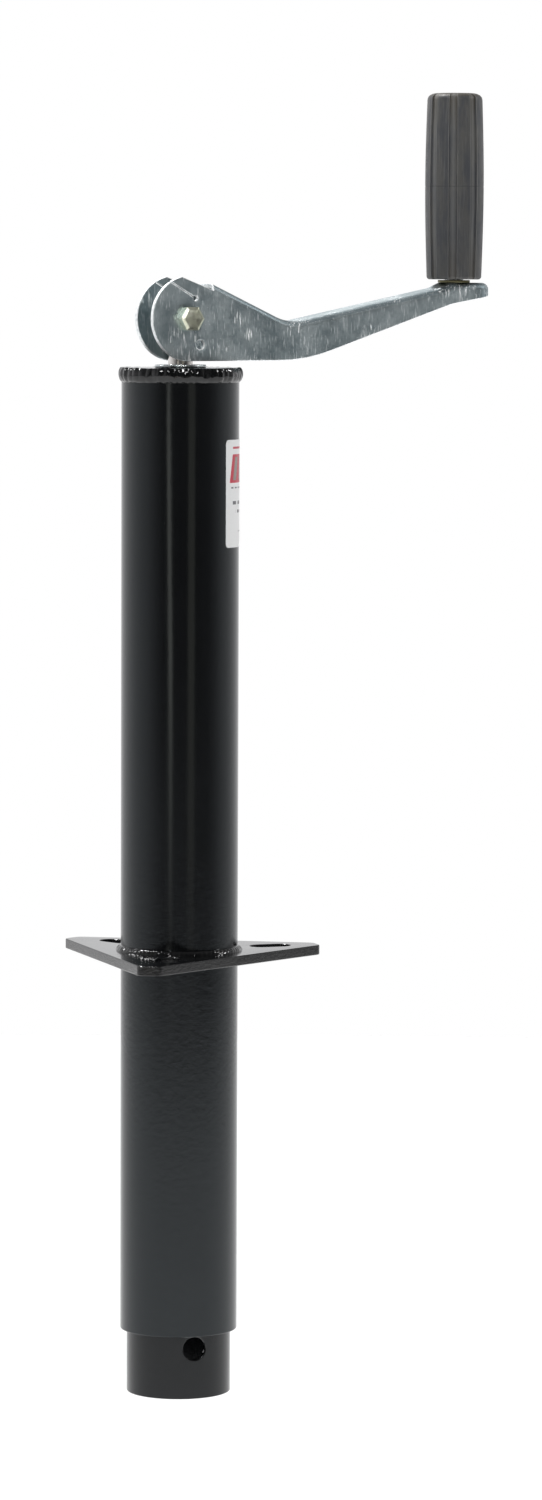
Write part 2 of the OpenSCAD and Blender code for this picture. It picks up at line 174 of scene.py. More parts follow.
def lathe(bm, profile, steps=96, shape=None, place=Matrix.Identity(4)):
    """Turns a profile of (radius, height) points about the axis.

    shape(radius, height, angle) may move each point, and place puts the
    result where it belongs. A closed profile ends where it starts. Returns
    the vertices, one list for each profile point.
    """
    closed = profile[0] == profile[-1]
    rows = []
    for radius, height in profile[:-1] if closed else profile:
        if radius < 1e-7:
            vert = bm.verts.new(place @ Vector((0, 0, height)))
            rows.append([vert] * steps)
            continue
        row = []
        for i in range(steps):
            angle = TAU * i / steps
            r, z = shape(radius, height, angle) if shape else (radius, height)
            row.append(bm.verts.new(
                place @ Vector((r * cos(angle), r * sin(angle), z))))
        rows.append(row)
    join_rings(bm, rows, closed)
    return rows


def turned(name, profile, steps, material, body, node, place=Matrix.Identity(4)):
    """A piece that is one profile turned about its axis, in the place of a node."""
    bm = bmesh.new()
    lathe(bm, profile, steps, place=place)
    new_piece(name, bm, material, body, [node])


def quarter(edge, turns):
    """A rounded corner's inset from each of its two sides, at turns in degrees."""
    return [(edge * (1 - sin(a)), edge * (1 - cos(a))) for a in map(radians, turns)]


def plate(bm, loops, z0, z1, edge):
    """A flat plate with rounded edges. loops are functions that give the
    outline and each hole, every point moved into the plate by an offset."""
    levels = [(offset, z0 + rise) for offset, rise in quarter(edge, (0, 30, 60, 90))]
    levels += [(offset, z0 + z1 - z) for offset, z in reversed(levels)]
    caps = [[], []]
    for loop in loops:
        rings = [[bm.verts.new((x, y, z)) for x, y in loop(offset)]
                 for offset, z in levels]
        join_rings(bm, rings)
        caps[0].append(rings[0])
        caps[1].append(rings[-1])
    flat = [[Vector((x, y, 0)) for x, y in loop(edge)] for loop in loops]
    triangles = geometry.tessellate_polygon(flat)
    for rings in caps:
        verts = [v for ring in rings for v in ring]
        for a, b, c in triangles:
            bm.faces.new((verts[a], verts[b], verts[c]))


def box_profile(r_in, r_out, z0, z1, edge, steps=3):
    """Closed (radius, height) profile of a ring with rounded edges."""
    points = rounded([(r_in, z0, edge), (r_out, z0, edge),
                      (r_out, z1, edge), (r_in, z1, edge)], steps)
    return points + points[:1]


# ---- Materials ----


class Nodes:
    """A node tree being built: short calls that add nodes and join them."""

    def __init__(self, tree):
        self.tree = tree

    def put(self, socket, value):
        if isinstance(value, bpy.types.NodeSocket):
            self.tree.links.new(value, socket)
        elif hasattr(value, "__len__") and len(value) == 3 and socket.type == "RGBA":
            socket.default_value = (*value, 1)
        else:
            socket.default_value = value

    def add(self, kind, inputs, output=0, **settings):
        made = self.tree.nodes.new("ShaderNode" + kind)
        for key, value in settings.items():
            setattr(made, key, value)
        for key, value in inputs.items():
            self.put(made.inputs[key], value)
        return made.outputs[output] if output is not None else made


class Surface(Nodes):
    """A material being built on the standard shader."""

    def __init__(self, name, metallic=0.0, **sockets):
        self.material = bpy.data.materials.new(name)
        self.material.use_nodes = True
        super().__init__(self.material.node_tree)
        self.bsdf = self.tree.nodes["Principled BSDF"]
        self.bsdf.inputs["Metallic"].default_value = metallic
        for socket, value in sockets.items():
            self.bsdf.inputs[socket.replace("_", " ")].default_value = value
        self.place = self.tree.nodes.new("ShaderNodeTexCoord")

    def coords(self, stretch=(1, 1, 1), shift=(0, 0, 0), source="Object"):
        return self.add("Mapping", {"Vector": self.place.outputs[source],
                                    "Scale": stretch, "Location": shift})

    def noise(self, scale, detail=3, roughness=0.55, **mapping):
        return self.add("TexNoise", {"Vector": self.coords(**mapping), "Scale": scale,
                                     "Detail": detail, "Roughness": roughness})

    def cells(self, scale, **mapping):
        return self.add("TexVoronoi", {"Vector": self.coords(**mapping),
                                       "Scale": scale})

    def math(self, operation, a, b=0.0, clamp=False):
        return self.add("Math", {0: a, 1: b}, operation=operation, use_clamp=clamp)

    def times(self, a, b):
        return self.math("MULTIPLY", a, b)

    def remap(self, value, low, high, to_low=0.0, to_high=1.0):
        return self.add("MapRange", {"Value": value, "From Min": low, "From Max": high,
                                     "To Min": to_low, "To Max": to_high},
                        interpolation_type="SMOOTHSTEP")

    def blend(self, factor, a, b):
        made = self.tree.nodes.new("ShaderNodeMix")
        made.data_type = "RGBA"
        self.put(made.inputs[0], factor)
        self.put(made.inputs[6], a)
        self.put(made.inputs[7], b)
        return made.outputs[2]

    def bump(self, height, distance, normal=None):
        inputs = {"Height": height, "Distance": distance, "Strength": 1.0}
        if normal is not None:
            inputs["Normal"] = normal
        return self.add("Bump", inputs)

    def facing(self, direction):
        """How squarely the surface faces along a direction of the piece, 0 to 1."""
        dot = self.add("VectorMath", {0: self.place.outputs["Normal"],
                                      1: tuple(direction)}, "Value",
                       operation="DOT_PRODUCT")
        return self.math("ABSOLUTE", dot)

    def finish(self, colour, roughness, normal):
        self.put(self.bsdf.inputs["Base Color"], colour)
        self.put(self.bsdf.inputs["Roughness"], roughness)
        self.put(self.bsdf.inputs["Normal"], normal)
        return self.material


def paint_material(name, gloss, peel, shine=0.5, tint=(1, 1, 1), rough_edges=False):
    """Black powder coat: orange peel, faint smudges and a few dust specks. gloss
    is its least roughness, peel the height of its orange peel, and shine and
    tint are how strong and what colour its reflections are."""
    g = Surface(name, IOR=1.5, Specular_IOR_Level=shine, Specular_Tint=(*tint, 1))
    cloud = g.noise(14, 4)
    specks = g.remap(g.cells(240), 0.0, 0.075, 1.0, 0.0)
    rare = g.remap(g.noise(38, 2, shift=(3, 1, 2)), 0.56, 0.64)
    dust = g.times(specks, rare)
    colour = g.blend(cloud, (0.0028, 0.0030, 0.0034), (0.0056, 0.0060, 0.0067))
    colour = g.blend(g.times(dust, 0.5), colour, (0.12, 0.115, 0.105))
    smudge = g.noise(9, 5, 0.65, stretch=(1, 1, 0.35), shift=(5, 2, 0))
    roughness = g.remap(smudge, 0.35, 0.7, gloss, gloss + 0.07)
    roughness = g.math("ADD", roughness, g.times(dust, 0.3), clamp=True)
    normal = g.bump(g.noise(330, 2), peel)
    normal = g.bump(g.noise(1500, 2), peel * 0.12, normal)
    if rough_edges:
        # the sheared edges of the plate stay coarse under the paint
        side = g.remap(g.facing((0, 0, 1)), 0.25, 0.6, 1.0, 0.0)
        tear = g.noise(420, 4, 0.7, stretch=(1, 1, 1.8))
        normal = g.bump(g.times(tear, side), 0.16 * MM, normal)
    return g.finish(colour, roughness, normal)


def zinc_material():
    """Bright zinc plate over pressed steel: cloudy, with fine upright scratches,
    painted shade on the folds and painted highlights on the cut rims and the dimples' rings."""
    g = Surface("zinc_plate", metallic=1.0)
    cloud = g.noise(55, 5, 0.6)
    spangle = g.noise(420, 3, 0.6, stretch=(1, 1, 0.6))
    colour = g.blend(g.remap(cloud, 0.32, 0.68), (0.335, 0.41, 0.435), (0.50, 0.565, 0.58))
    colour = g.blend(g.remap(spangle, 0.42, 0.7, 0.0, 0.35), colour, (0.26, 0.335, 0.36))
    # painted shade: the folds' curve is darkened, picked by which way the surface faces; the
    # folds are also made a little rougher
    side = g.facing(V_DIR)
    fold = g.times(g.remap(side, 0.2, 0.5), g.remap(side, 0.9, 0.98, 1.0, 0.0))
    colour = g.blend(g.times(fold, 0.6), colour, (0.15, 0.19, 0.21))
    # strokes come in patches, mostly low on the side plates
    strokes = g.noise(150, 3, 0.6, stretch=(9, 9, 0.75))
    where = g.noise(48, 2, shift=(2.3, 0, 1.1))
    scratch = g.times(g.remap(strokes, 0.58, 0.62), g.remap(where, 0.52, 0.57))
    fine = g.remap(g.noise(330, 2, 0.5, stretch=(7, 7, 0.5), shift=(1, 4, 0)), 0.60, 0.68)
    pits = g.remap(g.cells(520), 0.0, 0.16, 1.0, 0.0)
    pits = g.times(pits, g.remap(g.noise(90, 2, shift=(7, 3, 1)), 0.5, 0.6))
    marks = g.math("MAXIMUM", g.times(fine, 0.5), g.times(pits, 0.8))
    scratch = g.math("MAXIMUM", scratch, marks)
    # painted highlight: the cut rims and the dimples' rings are painted near white where they
    # turn away from the flat side faces
    rim_highlight = g.add("Attribute", {}, "Fac", attribute_name="rim_highlight")
    painted_rim_highlight = g.times(g.remap(rim_highlight, 0.6, 0.9, 0.0, 0.85),
                     g.remap(side, 0.9, 0.97, 1.0, 0.0))
    painted_rim_highlight = g.times(painted_rim_highlight, g.remap(g.noise(700, 3), 0.3, 0.55, 0.55, 1.0))
    bright = g.math("MAXIMUM", g.times(scratch, 0.9), painted_rim_highlight)
    colour = g.blend(bright, colour, (0.98, 0.99, 0.99))
    roughness = g.remap(cloud, 0.3, 0.7, 0.33, 0.43)
    rougher = g.math("MAXIMUM", g.times(bright, 0.3), g.times(fold, 0.12))
    roughness = g.math("ADD", roughness, rougher)
    normal = g.bump(g.noise(26, 2), 0.25 * MM)
    normal = g.bump(spangle, 0.012 * MM, normal)
    normal = g.bump(scratch, -0.03 * MM, normal)
    return g.finish(colour, roughness, normal)


def plated_material(name, dark, light, low, high):
    """A turned and plated part: fine rings of tooling and a cloudy tint between
    dark and light, with a roughness between low and high."""
    g = Surface(name, metallic=1.0)
    cloud = g.noise(130, 4, 0.6)
    colour = g.blend(g.remap(cloud, 0.35, 0.65), dark, light)
    roughness = g.remap(g.noise(380, 3), 0.3, 0.7, low, high)
    lines = g.noise(900, 2, 0.5, stretch=(0.5, 0.5, 6))
    normal = g.bump(lines, 0.006 * MM)
    normal = g.bump(g.noise(700, 3), 0.01 * MM, normal)
    return g.finish(colour, roughness, normal)


def screw_material():
    """The screw: bright where it stands out of the cap, greased below it."""
    g = Surface("screw_steel", metallic=1.0)
    height = g.add("SeparateXYZ", {"Vector": g.place.outputs["Object"]}, "Z")
    above = g.remap(height, CAP_TOP - 4 * MM, CAP_TOP)
    cloud = g.noise(210, 4, 0.6)
    bright = g.blend(cloud, (0.62, 0.58, 0.55), (0.8, 0.78, 0.76))
    greased = g.blend(cloud, (0.16, 0.14, 0.115), (0.33, 0.3, 0.26))
    colour = g.blend(above, greased, bright)
    roughness = g.remap(g.noise(320, 3), 0.3, 0.7, 0.14, 0.26)
    normal = g.bump(g.noise(1100, 2, 0.5, stretch=(0.4, 0.4, 5)), 0.008 * MM)
    return g.finish(colour, roughness, normal)


def grip_material():
    """Charcoal plastic: a fine grain, streaks along the mould, painted highlights along the
    grooves' edges with a paler mould line in each groove, and darker at the seam and towards the
    bottom.
    """
    g = Surface("grip_plastic", IOR=1.48)
    offset = g.add("VectorMath", {0: g.place.outputs["Object"],
                                  1: (GRIP_AXIS.x, GRIP_AXIS.y, 0)},
                   operation="SUBTRACT")
    flat = g.add("VectorMath", {0: offset, 1: (1, 1, 0)}, operation="MULTIPLY")
    radius = g.add("VectorMath", {0: flat}, "Value", operation="LENGTH")
    groove = g.remap(radius, GROOVE_FLOOR_R * MM, (GROOVE_FLOOR_R + 0.7) * MM, 1.0, 0.0)
    cloud = g.noise(110, 4, 0.65, stretch=(1.6, 1.6, 0.5))
    colour = g.blend(g.remap(cloud, 0.35, 0.65), (0.050, 0.053, 0.060), (0.078, 0.077, 0.073))
    streak = g.remap(g.noise(420, 3, 0.6, stretch=(3, 3, 0.12)), 0.5, 0.72)
    colour = g.blend(g.times(streak, 0.35), colour, (0.16, 0.16, 0.156))
    colour = g.blend(g.times(groove, 0.85), colour, (0.058, 0.050, 0.038))
    # painted highlight along the grooves' edges, and at half strength a paler mould line down
    # each groove's middle
    lip = g.add("Attribute", {}, "Fac", attribute_name="lip")
    colour = g.blend(g.times(lip, 0.7), colour, (0.23, 0.23, 0.22))
    height = g.add("SeparateXYZ", {"Vector": g.place.outputs["Object"]}, "Z")
    middle = (grip_low.z + grip_high.z) / 2
    seam = g.remap(g.math("ABSOLUTE", g.math("SUBTRACT", height, middle)),
                   0.15 * MM, 0.4 * MM, 0.55, 0.0)
    # the colour grows darker towards the bottom of the grip
    darker_towards_bottom = g.remap(height, grip_low.z, grip_high.z, 0.35, 0.0)
    colour = g.blend(g.math("MAXIMUM", seam, darker_towards_bottom), colour, (0.03, 0.031, 0.034))
    roughness = g.remap(g.noise(160, 3), 0.3, 0.7, 0.42, 0.56)
    normal = g.bump(g.noise(2600, 2), 0.018 * MM)
    normal = g.bump(g.noise(90, 3), 0.05 * MM, normal)
    return g.finish(colour, roughness, normal)


def label_material():
    """A printed vinyl sticker: a plain red block and rows of plain grey bars.
    The label's own directions run from 0 to 1 across and up it."""
    g = Surface("label_print", IOR=1.46)
    across, up = (
        g.add("SeparateXYZ", {"Vector": g.place.outputs["UV"]}, axis) for axis in "XY")
    grain = g.noise(900, 3)
    colour = g.blend(grain, (0.74, 0.745, 0.745), (0.81, 0.815, 0.815))

    def window(value, low, high):
        return g.times(g.math("GREATER_THAN", value, low), g.math("LESS_THAN", value, high))

    def area(x0, x1, y0, y1, lean=0.0):
        x = g.math("ADD", across, g.times(up, lean))
        return g.times(window(x, x0, x1), window(up, y0, y1))

    red, grey, faded = (0.50, 0.02, 0.05), (0.10, 0.10, 0.11), (0.24, 0.22, 0.20)
    prints = [
        (area(0.10, 0.93, 0.915, 0.935), red),
        (area(-0.06, 0.66, 0.60, 0.865, -0.18), red),
        (area(-0.01, 0.05, 0.625, 0.84, -0.18), faded),
        (area(0.13, 0.20, 0.625, 0.84, -0.18), faded),
        (area(0.28, 0.60, 0.625, 0.84, -0.18), faded),
    ]
    # broken bars stand where a label carries its lines of small print
    for left, right, middle, tall, pitch in (
            (0.07, 0.60, 0.555, 0.007, 90), (0.08, 0.88, 0.415, 0.016, 60),
            (0.15, 0.80, 0.335, 0.014, 64), (0.30, 0.92, 0.245, 0.010, 80),
            (0.22, 0.70, 0.150, 0.006, 95)):
        dashes = g.math("GREATER_THAN", g.math("SINE", g.times(across, pitch)), -0.35)
        bar = area(left, right, middle - tall, middle + tall)
        prints.append((g.times(bar, dashes), grey))
    for mask, ink in prints:
        colour = g.blend(mask, colour, ink)
    roughness = g.remap(grain, 0.3, 0.7, 0.3, 0.42)
    normal = g.bump(g.noise(220, 2), 0.03 * MM)
    return g.finish(colour, roughness, normal)


def floor_material():
    """Pale matt studio floor."""
    g = Surface("studio_floor")
    cloud = g.noise(2, 2)
    return g.finish(g.blend(cloud, (0.86, 0.86, 0.86), (0.88, 0.88, 0.88)),
                    g.remap(cloud, 0.3, 0.7, 0.8, 0.9), g.bump(g.noise(30), 0.1 * MM))


# ---- Jack tube and what is welded to it ----

TUBE_WALL = 2.4 * MM


def make_outer_tube(material):
    """The jack tube, eased at both ends."""
    turned("jack_tube", box_profile(TUBE_R - TUBE_WALL, TUBE_R, tube_low.z, tube_high.z,
                                    0.6 * MM, 4),
           160, material, "housing", "outer_tube")


def bead(bm, profile, pitch, ripple, wander, seed, join_angle):
    """A weld bead round the tube. profile(t) gives its section at rest, t from
    0 to 1. Ripples at a pitch, a wander and one start-and-stop lump are added."""
    steps, across = 720, 14
    slow_scale, quick_scale = 2.4, 9
    lump_high, lump_wide, crater_at, crater_wide = 0.45 * MM, 0.05, -0.12, 0.04
    rows = []
    for k in range(across + 1):
        t = k / across
        swell = sin(pi * t)
        row = []
        for i in range(steps):
            angle = TAU * i / steps
            run = angle * TUBE_R
            curve = (t - 0.45) ** 2 * 3.2 * MM
            slow = noise.noise(Vector((cos(angle) * slow_scale,
                                       sin(angle) * slow_scale, seed)))
            quick = noise.noise(Vector((cos(angle) * quick_scale,
                                        sin(angle) * quick_scale,
                                        seed + 3 + t * 1.2)))
            wave = abs(sin(pi * (run + curve + slow * 1.5 * MM) / pitch))
            apart = (angle - join_angle + pi) % TAU - pi
            lump = (exp(-(apart / lump_wide) ** 2)
                    - 0.7 * exp(-((apart - crater_at) / crater_wide) ** 2))
            out = swell * (ripple * (wave - 0.5) + wander * (slow + 0.8 * quick)
                           + lump_high * lump)
            r, z, nr, nz = profile(t)
            row.append(bm.verts.new(((r + nr * out) * cos(angle),
                                     (r + nr * out) * sin(angle), z + nz * out)))
        rows.append(row)
    low, high = min(profile(0)[1], profile(1)[1]), max(profile(0)[1], profile(1)[1])
    inner = min(profile(0)[0], profile(1)[0]) - 0.5 * MM
    rows.append([bm.verts.new((inner * cos(TAU * i / steps),
                               inner * sin(TAU * i / steps),
                               low if profile(1)[1] == low else high))
                 for i in range(steps)])
    join_rings(bm, rows, closed=True)


def make_top_weld(material):
    """The bead that joins the cap to the tube. Its fullest part is half way down."""
    corners = [(TUBE_R + out * MM, CAP_TOP - down * MM, radius * MM) for out, down, radius in (
        (0.45, 0, 0.5), (1.25, 1.7, 1.2), (1.55, 3.8, 1.2), (1.0, 6.0, 1.0), (-0.1, 7.2, 0))]
    line = rounded([(cap_high.x, CAP_TOP, 0)] + corners, 5, closed=False)
    bm = bmesh.new()
    bead(bm, along(line), pitch=3.6 * MM, ripple=0.3 * MM, wander=1.0 * MM, seed=4.0,
         join_angle=radians(-67))
    new_piece("cap_bead", bm, material, "housing", ["top_weld"])


def along(line):
    """profile(t) for bead(): the place and the outward direction on a line."""
    lengths = [0.0]
    for (r0, z0), (r1, z1) in zip(line, line[1:]):
        lengths.append(lengths[-1] + hypot(r1 - r0, z1 - z0))

    def at(t):
        want = t * lengths[-1]
        k = max(i for i in range(len(line) - 1) if lengths[i] <= want + 1e-12)
        part = (want - lengths[k]) / (lengths[k + 1] - lengths[k])
        (r0, z0), (r1, z1) = line[k], line[k + 1]
        long = lengths[k + 1] - lengths[k]
        return (r0 + (r1 - r0) * part, z0 + (z1 - z0) * part,
                -(z1 - z0) / long, (r1 - r0) / long)

    return at


def make_flange_weld(material):
    """The bead between the flange's top and the tube."""
    low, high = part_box("flange_weld")
    leg_out, leg_up = high.x - TUBE_R, high.z - low.z
    line = rounded([(TUBE_R - 0.1 * MM, FLANGE_T + leg_up, 0),
                    (TUBE_R + 0.42 * leg_out, FLANGE_T + 0.8 * leg_up, 1.5 * MM),
                    (TUBE_R + 0.75 * leg_out, FLANGE_T + 0.42 * leg_up, 1.5 * MM),
                    (TUBE_R + leg_out, FLANGE_T - 0.1 * MM, 0)], 5, closed=False)
    bm = bmesh.new()
    bead(bm, along(line), pitch=2.4 * MM, ripple=0.16 * MM, wander=0.3 * MM, seed=9.0,
         join_angle=radians(100))
    new_piece("flange_bead", bm, material, "housing", ["flange_weld"])


def flange_loops():
    """The triangle with its rounded corners, the tube's hole and the three slots."""
    apothem, tip, corner = 40.2 * MM, 71.5 * MM, 4 * MM
    slot_r, slot_run = 11.1 / 2 * MM, (20.6 - 11.1) / 2 * MM
    half = (2 * apothem - tip) * tan(radians(30))

    def outline(offset):
        points = []
        for k in range(3):
            turn = Matrix.Rotation(radians(120 * k), 2)
            for side in (-1, 1):
                centre = Vector((tip - corner,
                                 side * (half - corner * tan(radians(30)))))
                for i in range(9):
                    a = radians(-60 + 60 * i / 8 + (60 if side > 0 else 0))
                    points.append(turn @ (centre + ray(a) * (corner - offset - SKIN)))
        return [(p.x, p.y) for p in points]

    def hole(offset):
        radius, steps = TUBE_R + offset, 96
        return [(radius * cos(-TAU * i / steps), radius * sin(-TAU * i / steps))
                for i in range(steps)]

    def slot(x, y):
        turn = Matrix.Rotation(atan2(y, x), 2)

        def points(offset):
            out = []
            for side in (1, -1):
                for i in range(17):
                    a = radians(90 * side - 180 * i / 16)
                    p = Vector((side * slot_run, 0)) + ray(a) * (slot_r + offset)
                    out.append(turn @ p + Vector((x, y)))
            return [(p.x, p.y) for p in out]

        return points

    rear_x, rear_y = -18.9 * MM, 79.4 / 2 * MM
    return [outline, hole, slot(47 * MM, 0), slot(rear_x, rear_y), slot(rear_x, -rear_y)]


def make_flange(material):
    """The triangular plate that bolts to the trailer's tongue."""
    bm = bmesh.new()
    plate(bm, flange_loops(), flange_low.z, flange_high.z, 0.45 * MM)
    new_piece("tongue_flange", bm, material, "housing",
              ["mounting_flange"])


def make_label(material):
    """A thin sticker wrapped on the tube, with rounded corners."""
    start, sweep = radians(-58), 60 * MM / TUBE_R
    radius, thick = TUBE_R, label_high.x - TUBE_R
    wide, tall, corner = sweep * TUBE_R, label_high.z - label_low.z, 2 * MM
    columns, rows = 60, 40
    bm = bmesh.new()
    uv = bm.loops.layers.uv.new("print")
    front, back = [], []
    heights = [corner * (1 - cos(pi / 2 * k / 5)) for k in range(6)]
    levels = (heights + [corner + (tall - 2 * corner) * k / rows for k in range(1, rows)]
              + [tall - h for h in reversed(heights)])
    for z in levels:
        near = max(0, corner - z, z - (tall - corner))
        inset = corner - sqrt(max(0, corner ** 2 - near ** 2))
        line = [[], []]
        for i in range(columns + 1):
            x = inset + (wide - 2 * inset) * i / columns
            a = start + x / TUBE_R
            for side, r in enumerate((radius + thick, radius - 0.05 * MM)):
                vert = bm.verts.new((r * cos(a), r * sin(a), label_low.z + z))
                line[side].append((vert, (x / wide, z / tall)))
        front.append(line[0])
        back.append(line[1])

    def face(corners):
        made = bm.faces.new([v for v, _ in corners])
        for loop, (_, place) in zip(made.loops, corners):
            loop[uv].uv = place

    for grid in (front, back):
        for a, b in zip(grid, grid[1:]):
            for i in range(columns):
                face([a[i], a[i + 1], b[i + 1], b[i]])
    rim = [(k, columns) for k in range(len(levels))]
    rim += [(len(levels) - 1, i) for i in range(columns - 1, -1, -1)]
    rim += [(k, 0) for k in range(len(levels) - 2, -1, -1)]
    rim += [(0, i) for i in range(1, columns)]
    for (k0, i0), (k1, i1) in zip(rim, rim[1:] + rim[:1]):
        face([front[k0][i0], front[k1][i1], back[k1][i1], back[k0][i0]])
    new_piece("maker_label", bm, material, "housing", ["rating_label"])


def make_cap_washer(material):
    """The washer round the screw, on top of the cap."""
    low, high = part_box("top_washer")
    turned("cap_washer", box_profile(6.5 * MM, high.x, low.z, high.z, 0.55 * MM, 5),
           96, material, "housing", "top_washer")


# ---- Ram ----

RAM_WALL = 2.3 * MM
PIN_HOLE_R = 11.1 / 2 * MM
PIN_HOLE_UP = 24.9 * MM  # above the ram's open end


def make_ram(material):
    """The ram tube, with its cross hole cut along Y and eased at the rims. A
    patch of the grid is taken out of both walls, and rings lead to the hole."""
    inner_r, hole_r = RAM_R - RAM_WALL, PIN_HOLE_R
    hole_z = ram_low.z + PIN_HOLE_UP
    steps, half_cells, half_height, cell_rows = 144, 8, 8.6 * MM, 16
    levels = [hole_z - half_height + 2 * half_height * k / cell_rows
              for k in range(cell_rows + 1)]
    edge = 0.5 * MM

    def easing(radius, z, out, up):
        """The rounded corner of the tube's end, from the wall towards the end."""
        return [(radius + out * inset, z + up * rise)
                for rise, inset in quarter(edge, (0, 30, 60, 90))]

    outer = ([*reversed(easing(RAM_R, ram_low.z, -1, 1))]
             + [(RAM_R, z) for z in levels] + easing(RAM_R, ram_high.z, -1, -1))
    inner = ([*reversed(easing(inner_r, ram_high.z, 1, -1))]
             + [(inner_r, z) for z in reversed(levels)] + easing(inner_r, ram_low.z, 1, 1))
    bm = bmesh.new()
    rows = lathe(bm, outer + inner + outer[:1], steps)
    first_out, first_in = 4, len(outer) + 4
    for middle in (steps // 4, 3 * steps // 4):
        columns = [(middle + i) % steps for i in range(-half_cells, half_cells + 1)]
        rims = []
        for first in (first_out, first_in):
            cell = [[rows[first + k][i] for i in columns] for k in range(cell_rows + 1)]
            inside = {v for line in cell[1:-1] for v in line[1:-1]}
            bmesh.ops.delete(bm, geom=list(inside), context="VERTS")
            border = (cell[0][:-1] + [line[-1] for line in cell[:-1]]
                      + cell[-1][:0:-1] + [line[0] for line in cell[:0:-1]])
            rims.append(border)
        if rims[1][0].co.z > rims[0][0].co.z:  # the inner wall's levels run downwards
            rims[1] = [min(rims[1], key=lambda v: abs(v.co.z - o.co.z)
                           + abs(atan2(v.co.x, v.co.y) - atan2(o.co.x, o.co.y)))
                       for o in rims[0]]
        side = 1 if middle == steps // 4 else -1
        rings = [rims[0]]
        ease = 0.7 * MM
        stops = [(RAM_R, hole_r + 1.8 * MM, 0)]
        stops += [(RAM_R, hole_r + out, sunk)
                  for out, sunk in quarter(ease, (0, 22, 45, 68, 90))]
        stops += [(inner_r, hole_r, -0.3 * MM), (inner_r, hole_r + 0.3 * MM, 0),
                  (inner_r, hole_r + 1.2 * MM, 0)]
        for wall_r, ring_r, sunk in stops:
            ring = []
            for v in rims[0]:
                a = atan2(v.co.z - hole_z, v.co.x)
                x = ring_r * cos(a)
                y = sqrt(wall_r ** 2 - x ** 2) - sunk
                ring.append(bm.verts.new((x, side * y, hole_z + ring_r * sin(a))))
            rings.append(ring)
        rings.append(rims[1])
        join_rings(bm, rings)
    new_piece("ram_leg", bm, material, "ram", ["ram_tube"])


# ---- Crank handle ----

HUB_R = 20.5
HALF_W = 8.75  # half the channel's width
STEEL = 2.4
FOLD_R = 3.4  # outside radius of the folds
NOTCH_U = 13.5  # where the web ends by the hub
CRANK_R = 157.5
TIP_U = 176.3
PAD_W = 17.7  # top of the flat pad under the grip
TIP_CENTRE_U = TIP_U - HALF_W
TOP_LINE = rounded([(NOTCH_U, 17, 0), (57.3, -2.2, 25), (146, 15.1, 3),
                    (152, PAD_W, 3), (TIP_U, PAD_W, 0)], 10, closed=False)
BOTTOM_LINE = rounded([(0, -HUB_R, 0), (66, -20.3, 95), (151, 7.2, 40),
                       (TIP_U, 11.4, 0)], 14, closed=False)
BOLT_HOLE_R = 3.3
BOLT_R = 6.35 / 2
HEX_W = 11.1
NUT_H = 5.5
DIMPLE_AT = Vector((5.9, -12.6))
# a narrow cut runs from the hub's rim, near EAR_END, to a small relief hole
RELIEF_AT = Vector((3.4, 9.8))
RELIEF_R = 1.3
SLIT_W = 0.5
EAR_END = Vector((-12, 18.6))
EAR_CORNER = Vector((-4, 20.1))
# turns a piece that is drawn upwards so that it points at the camera's side
ALONG_BOLT = Matrix.Rotation(radians(90), 4, "X")
AT_GRIP = ARM @ Matrix.Translation((CRANK_R * MM, 0, 0))


class Sheet:
    """Pressed steel: two skins that share one set of faces, closed at the rims."""

    def __init__(self):
        self.index, self.outer, self.inner, self.faces = {}, [], [], []
        self.rim_highlight = set()

    # the last argument marks a point that gets the painted highlight of a rim
    def vert(self, outer, inner, rim_highlight=False):
        key = tuple(round(c * 500) for c in outer)
        if key not in self.index:
            self.index[key] = len(self.outer)
            self.outer.append(Vector(outer))
            self.inner.append(Vector(inner))
        if rim_highlight:
            self.rim_highlight.add(self.index[key])
        return self.index[key]

    def face(self, *corners):
        loop = [c for k, c in enumerate(corners) if c not in corners[:k]]
        if len(loop) > 2:
            self.faces.append(loop)

    def grid(self, lines):
        for a, b in zip(lines, lines[1:]):
            for i in range(len(a) - 1):
                self.face(a[i], a[i + 1], b[i + 1], b[i])

    def build(self, place):
        bm = bmesh.new()
        layer = bm.verts.layers.float.new("rim_highlight")
        skins = [[bm.verts.new(place @ (p * MM)) for p in skin]
                 for skin in (self.outer, self.inner)]
        sides = {}
        for loop in self.faces:
            for skin in skins:
                bm.faces.new([skin[i] for i in loop])
            for a, b in zip(loop, loop[1:] + loop[:1]):
                sides.setdefault(frozenset((a, b)), []).append((a, b))
        for uses in sides.values():
            if len(uses) == 1:
                a, b = uses[0]
                bm.faces.new((skins[0][a], skins[0][b], skins[1][b], skins[1][a]))
                # points on the cut rims get the painted highlight
                self.rim_highlight |= {a, b}
        for i in self.rim_highlight:
            for skin in skins:
                skin[i][layer] = 1
        return bm


def hub_outline():
    """The side plate's edge at the hub, from the web's end round to below it,
    with the narrow cut and its relief hole."""
    run = (RELIEF_AT - EAR_END).normalized()
    above = Vector((-run.y, run.x))

    def on_rim(side):
        p = RELIEF_AT + above * side * SLIT_W / 2
        b = p.dot(run)
        return p - run * (b + sqrt(b * b - p.length_squared + HUB_R ** 2))

    def arc(centre, radius, start, end, steps):
        return [centre + ray(radians(start + (end - start) * i / steps)) * radius
                for i in range(steps + 1)]

    upper, lower = on_rim(1), on_rim(-1)
    angles = [degrees(atan2(p.y, p.x)) for p in (EAR_CORNER, upper, lower)]
    entry = degrees(atan2(-run.y, -run.x))
    spread = degrees(asin(SLIT_W / 2 / RELIEF_R))
    line = [Vector((NOTCH_U, 17 - FOLD_R))]
    line += arc(Vector((0, 0)), HUB_R, angles[0], angles[1], 6)
    line += arc(RELIEF_AT, RELIEF_R, entry - spread, entry + spread - 360, 18)
    line += arc(Vector((0, 0)), HUB_R, angles[2], 270, 56)
    return line


